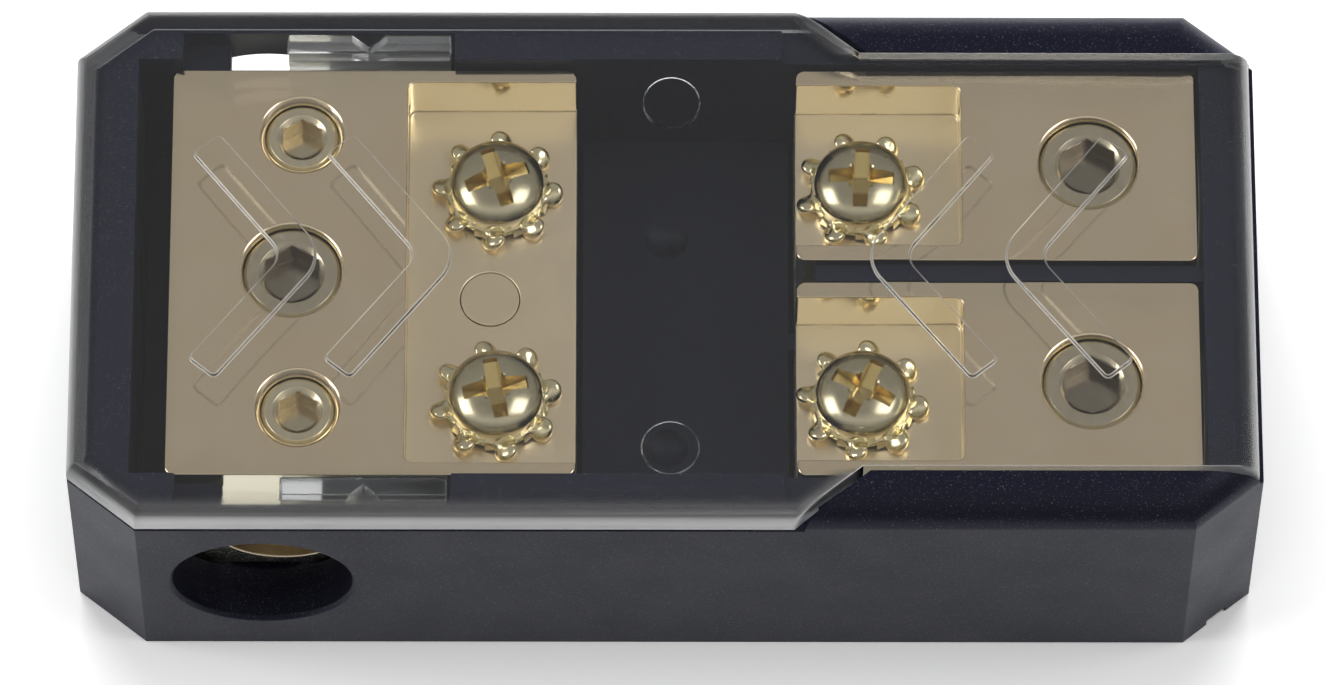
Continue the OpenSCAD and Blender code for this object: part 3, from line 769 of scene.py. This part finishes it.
def softened(node, name, edge, material, breaks=any_edge, reshape=None, cuts=()):
    """A copy of a solid with its loose triangles joined and its sharp edges rounded by a narrow band; breaks
    tells from an edge's middle whether that edge is rounded, and reshape moves the joined points first, with
    extra points where the copy is cut across Y."""
    mesh = frame["nodes"][node].data.copy()
    mesh.name = name
    mesh.attributes.remove(mesh.attributes["custom_normal"])
    work = bmesh.new()
    work.from_mesh(mesh)
    bmesh.ops.remove_doubles(work, verts=work.verts, dist=MERGE_DISTANCE)
    cut_across(work, cuts)
    if reshape:
        move_points(work, mesh, reshape)
    break_edges(work, edge, breaks)
    work.to_mesh(mesh)
    work.free()
    mesh.shade_smooth()
    weighted_normals(mesh)
    mesh.materials.clear()
    mesh.materials.append(material)
    stand_for(placed(name, mesh), node)


def finished_mesh(name, points, faces, material):
    """A smooth-shaded object at the origin from points and faces, with outward normals."""
    mesh = bpy.data.meshes.new(name)
    mesh.from_pydata(points.tolist(), [], faces)
    work = bmesh.new()
    work.from_mesh(mesh)
    bmesh.ops.recalc_face_normals(work, faces=work.faces)
    work.to_mesh(mesh)
    work.free()
    mesh.shade_smooth()
    mesh.set_sharp_from_angle(angle=SHARP_ANGLE)
    mesh.materials.append(material)
    return placed(name, mesh)


def grid_border(grid):
    """The border of a square grid, once round."""
    return np.concatenate([grid[0, :-1], grid[:-1, -1], grid[-1, :0:-1], grid[:0:-1, 0]])


def capped_mesh(name, cap, rings, material):
    """A closed mesh: a square grid of points whose border continues down through rings of points, closed by
    a point under the last ring. The rings follow the border of the grid, corner by corner."""
    side = cap.shape[0]
    index = np.arange(side * side).reshape(side, side)
    border = grid_border(index)
    quads = np.stack([index[:-1, :-1], index[1:, :-1], index[1:, 1:], index[:-1, 1:]], -1).reshape(-1, 4)
    around = len(border)
    rows = np.vstack([border, side * side + np.arange(len(rings) * around).reshape(-1, around)])
    beside = np.roll(rows, -1, axis=1)
    walls = np.stack([rows[:-1], beside[:-1], beside[1:], rows[1:]], -1).reshape(-1, 4)
    tip = side * side + len(rings) * around
    fan = np.stack([rows[-1], beside[-1], np.full(around, tip)], -1)
    points = np.vstack([cap.reshape(-1, 3), rings.reshape(-1, 3), rings[-1].mean(0)])
    return finished_mesh(name, points, quads.tolist() + walls.tolist() + fan.tolist(), material)


def ring_mesh(name, sections, material):
    """A closed ring: each row of points is a closed section, and the last row joins the first."""
    around, corners = sections.shape[:2]
    row, column = np.meshgrid(np.arange(around), np.arange(corners), indexing="ij")
    below_row, beside = (row + 1) % around, (column + 1) % corners
    quads = np.stack([row * corners + column, below_row * corners + column,
                      below_row * corners + beside, row * corners + beside], -1).reshape(-1, 4)
    return finished_mesh(name, sections.reshape(-1, 3), quads.tolist(), material)


def smooth_step(value):
    """0 below 0, 1 above 1, and an even S-curve between them."""
    part = np.clip(value, 0, 1)
    return part * part * (3 - 2 * part)


def head_lines():
    """Positions across a screw head, from -1 to 1, with close pairs at the walls of the cross recess."""
    ends = ((0, CROSS_HALF - CROSS_WALL), (CROSS_HALF, CROSS_REACH - CROSS_WALL), (CROSS_REACH, 1))
    side = np.concatenate([np.linspace(*end, count) for end, count in zip(ends, HEAD_LINES)])
    return np.concatenate([-side[:0:-1], side])


def cross_recess(across, along):
    """Depth of a cross recess below the top of the dome, over the grid: four wings that deepen evenly
    inwards, and a steep cone in the middle; 0 outside of them."""
    far = np.maximum(abs(across), abs(along))
    near = np.minimum(abs(across), abs(along))
    inside = (near < CROSS_HALF - CROSS_WALL / 2) & (far < CROSS_REACH - CROSS_WALL / 2)
    inward = np.clip((CROSS_REACH - far) / (CROSS_REACH - CROSS_HALF), 0, 1)
    floor = CROSS_END_DEPTH + (CROSS_DEPTH - CROSS_END_DEPTH) * inward
    cone = CROSS_DEPTH * (CROSS_CONE - np.hypot(across, along)) / (CROSS_CONE - CROSS_HALF)
    return np.maximum(np.where(inside, floor, 0), np.clip(cone, 0, CROSS_DEPTH))


def screw_profile(low, high):
    """Radii and heights of the rings below a screw's dome: down its rim, under its head, along its shank."""
    seat = high - HEAD_HEIGHT
    step = SCREW_RIM_STEP * SCREW_RIM
    return (
        (HEAD_RADIUS, seat + SCREW_RIM),
        (HEAD_RADIUS - step, seat + step),
        (HEAD_RADIUS - SCREW_RIM, seat),
        (SHANK_RADIUS, seat),
        (SHANK_RADIUS, low + SCREW_RIM),
        (SHANK_RADIUS - SCREW_RIM, low),
    )


def fuse_screw(place, material):
    """A domed screw: a square grid drawn into a disc by x = u * sqrt(1 - v^2 / 2), y = v * sqrt(1 - u^2 / 2),
    raised as a superellipse of the distance from the middle, less the depth of the cross recess; then rings
    down the rim, under the head and along the shank."""
    node = f"fuse_screw_{place}"
    low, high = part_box(node)
    middle = (low + high) / 2
    lines = head_lines()
    u, v = np.meshgrid(lines, lines, indexing="ij")
    x, y = u * np.sqrt(1 - v * v / 2), v * np.sqrt(1 - u * u / 2)
    out = np.clip(np.hypot(x, y), 0, 1)
    fall = DOME_HEIGHT * (1 - (1 - out ** DOME_POWER) ** (1 / DOME_POWER))
    depth = cross_recess(u, v)
    tilt = radians(SCREW_TURNS[place])
    head = np.stack([x * cos(tilt) - y * sin(tilt), x * sin(tilt) + y * cos(tilt)], -1)
    border = grid_border(head)
    rings = np.array([np.column_stack([border * radius, np.full(len(border), height)])
                      for radius, height in screw_profile(low.z, high.z)])
    top = high.z - np.maximum(fall, depth)
    cap = np.concatenate([head * HEAD_RADIUS, top[..., None]], -1)
    centre = np.array([middle.x, middle.y, 0])
    piece = capped_mesh(f"domed_screw_{place}", cap + centre, rings + centre, material)
    # The recess mark carries painted shade: it browns the plate in the cross recess, fading in with depth
    recess = np.zeros(len(piece.data.vertices), np.float32)
    recess[:depth.size] = np.clip((depth - fall) / RECESS_SHADE_FADE, 0, 1).ravel()
    piece.data.attributes.new("recess", "FLOAT", "POINT").data.foreach_set("value", recess)
    stand_for(piece, node)


def washer_height(local, arch, side, radius, rim):
    """Height of a washer's surface over its middle: a section rounded at its outer end, and in the teeth
    crowned, swollen and twisted. local is the place across the nearest tooth, arch the square of its round
    outline there, and side is 1 on top and -1 underneath."""
    edge = np.clip((rim - radius) / WASHER_END_ROUND, 0, 1)
    beyond = smooth_step((radius - TOOTH_ROOT) / TOOTH_BLEND)
    crown = 1 - beyond * (1 - np.sqrt(np.clip(arch, TOOTH_CROWN, 1)))
    swell = 1 + TOOTH_SWELL * beyond * np.sqrt(np.clip(arch, 0, 1))
    half = WASHER_THICKNESS / 2 * np.sqrt(1 - (1 - edge) ** 2) * crown * swell
    sway = local * 2 * pi / WASHER_TEETH * radius * np.sin(TOOTH_TWIST) * beyond
    return np.clip(side * half + sway, -WASHER_HALF_BOX, WASHER_HALF_BOX)


def tooth_washer(place, material):
    """A toothed washer: a rounded section carried round a circle, reaching out at each tooth, where it
    twists about the tooth's own radius."""
    node = f"washer_{place}"
    low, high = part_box(node)
    middle = (low + high) / 2
    reach = (high.x - low.x) / 2 - WASHER_INSET
    turn = np.linspace(0, 2 * pi, WASHER_SECTIONS, endpoint=False)[:, None]
    phase = (turn - radians(WASHER_TURNS[place])) * WASHER_TEETH / (2 * pi)
    local = phase - np.round(phase)
    arch = 1 - (local / TOOTH_SHARE) ** 2
    rim = WASHER_RING + (reach - WASHER_RING) * np.sqrt(np.clip(arch, 0, 1))
    share = np.concatenate([np.linspace(0, 1, WASHER_POINTS), np.linspace(1, 0, WASHER_POINTS)])
    side = np.repeat((1, -1), WASHER_POINTS)
    radius = WASHER_HOLE + (rim - WASHER_HOLE) * (1 - (1 - share) ** WASHER_CROWDING)
    z = middle.z + washer_height(local, arch, side, radius, rim)
    points = np.stack([middle.x + radius * np.cos(turn), middle.y + radius * np.sin(turn), z], -1)
    piece = ring_mesh(f"tooth_washer_{place}", points, material)
    stand_for(piece, node)


def aim_camera():
    """Camera at DISTANCE from TARGET, against the viewing direction, rolled about it."""
    turn, rise, roll = radians(AZIMUTH), radians(ELEVATION), radians(ROLL)
    ahead = Vector((sin(turn) * cos(rise), cos(turn) * cos(rise), -sin(rise)))
    right = Vector((cos(turn), -sin(turn), 0))
    above = right.cross(ahead)
    axes = (right * cos(roll) + above * sin(roll), above * cos(roll) - right * sin(roll), -ahead)
    place = Matrix(axes).transposed().to_4x4()
    place.translation = TARGET - ahead * DISTANCE
    data = bpy.data.cameras.new("camera")
    data.sensor_width = SENSOR_WIDTH
    data.lens = SENSOR_WIDTH * FOCAL_PIXELS / PHOTO_WIDTH
    camera = placed("camera", data)
    camera.matrix_world = place
    bpy.context.scene.camera = camera


def softbox(name, direction, distance, width, height, brightness, mirrored):
    """A rectangular panel light that faces the block; its power gives the panel an even brightness. One that
    isn't mirrored isn't seen through the cover either."""
    data = bpy.data.lights.new(name, "AREA")
    data.shape = "RECTANGLE"
    data.size = width
    data.size_y = height
    data.energy = brightness * pi * width * height
    lamp = placed(name, data)
    toward = Vector(direction).normalized()
    lamp.location = toward * distance
    lamp.rotation_euler = toward.to_track_quat("Z", "Y").to_euler()
    lamp.visible_glossy = mirrored
    lamp.visible_transmission = mirrored


def pale_floor():
    """Plain floor, paler where it is seen or mirrored than as it lights the block."""
    mesh = bpy.data.meshes.new("floor")
    corners = [(x * FLOOR_HALF, y * FLOOR_HALF, 0) for x, y in ((-1, -1), (1, -1), (1, 1), (-1, 1))]
    mesh.from_pydata(corners, [], [(0, 1, 2, 3)])
    material, tree, shader, _ = new_material("floor")
    path = add(tree, "LightPath").outputs
    rays = [path[f"Is {kind} Ray"] for kind in ("Glossy", "Transmission", "Camera")]
    seen = combined(tree, "MAXIMUM", rays)
    feed(tree, shader.inputs, {
        "Base Color": ranged(tree, seen, 0.0, 1.0, FLOOR_TONE, FLOOR_SEEN),
        "Roughness": 1,
        "Specular IOR Level": 0,
    })
    mesh.materials.append(material)
    floor = placed("floor", mesh)


def soft_sky():
    """A sky whose tone follows the turn from the front horizon over the top to the back."""
    world = bpy.data.worlds.new("studio_sky")
    world.use_nodes = True
    bpy.context.scene.world = world
    tree = world.node_tree
    look = parts_of(tree, add(tree, "TexCoord").outputs["Generated"])
    turn = maths(tree, "ARCTAN2", look["Z"], maths(tree, "MULTIPLY", look["Y"], -1.0))
    ramp = add(tree, "ValToRGB", {"Fac": maths(tree, "DIVIDE", turn, pi)})
    stops = ramp.color_ramp.elements
    while len(stops) < len(SKY_TONES):
        stops.new(1)
    for stop, (place, tone) in zip(stops, SKY_TONES):
        stop.position = place
        stop.color = (tone, tone, tone, 1)
    feed(tree, tree.nodes["Background"].inputs, {"Color": ramp.outputs["Color"]})


bpy.context.scene.view_settings.view_transform = "Standard"
aim_camera()
pale_floor()
soft_sky()
for panel in SOFTBOXES:
    softbox(*panel)

step_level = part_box("washer_input_rear")[0].z + STEP_ABOVE
set_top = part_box("input_set_screw_middle")[1].z
plastic = black_plastic()
clear = clear_plastic()
block_gold = plated("block_gold", BLOCK_TONES, BLOCK_ROUGHNESS, FINE_GRAIN, BLOCK_GRAIN_DEPTH, step_level)
screw_gold = plated("screw_gold", SCREW_TONES, SCREW_ROUGHNESS, SCREW_GRAIN, SCREW_GRAIN_DEPTH)
washer_gold = plated("washer_gold", WASHER_TONES, WASHER_ROUGHNESS, SCREW_GRAIN, SCREW_GRAIN_DEPTH)
nickel = socket_plate("dark_nickel", *NICKEL_RING_AND_SOCKET_SHADE, set_top)
socket_gold = socket_plate("socket_gold", *SOCKET_GOLD_RING_AND_SHADE, set_top)

softened("base", "housing", HOUSING_EDGE, plastic, reshape=finished_housing)
softened("cover", "clear_cover", COVER_EDGE, clear, cover_edge, finished_cover, ARROW_CUTS)
for node in ("input_block", "output_block_rear", "output_block_front"):
    softened(node, f"plated_{node}", BLOCK_EDGE, block_gold)
for node in ("input_set_screw_middle", "output_set_screw_rear", "output_set_screw_front"):
    softened(node, f"socket_{node}", SCREW_EDGE, nickel)
for node in ("input_set_screw_rear", "input_set_screw_front"):
    softened(node, f"socket_{node}", SCREW_EDGE, socket_gold)
for node in ("fixing_screw_input", "fixing_screw_output_rear", "fixing_screw_output_front"):
    softened(node, f"cross_{node}", SCREW_EDGE, block_gold)
for place in SCREW_TURNS:
    fuse_screw(place, screw_gold)
    tooth_washer(place, washer_gold)
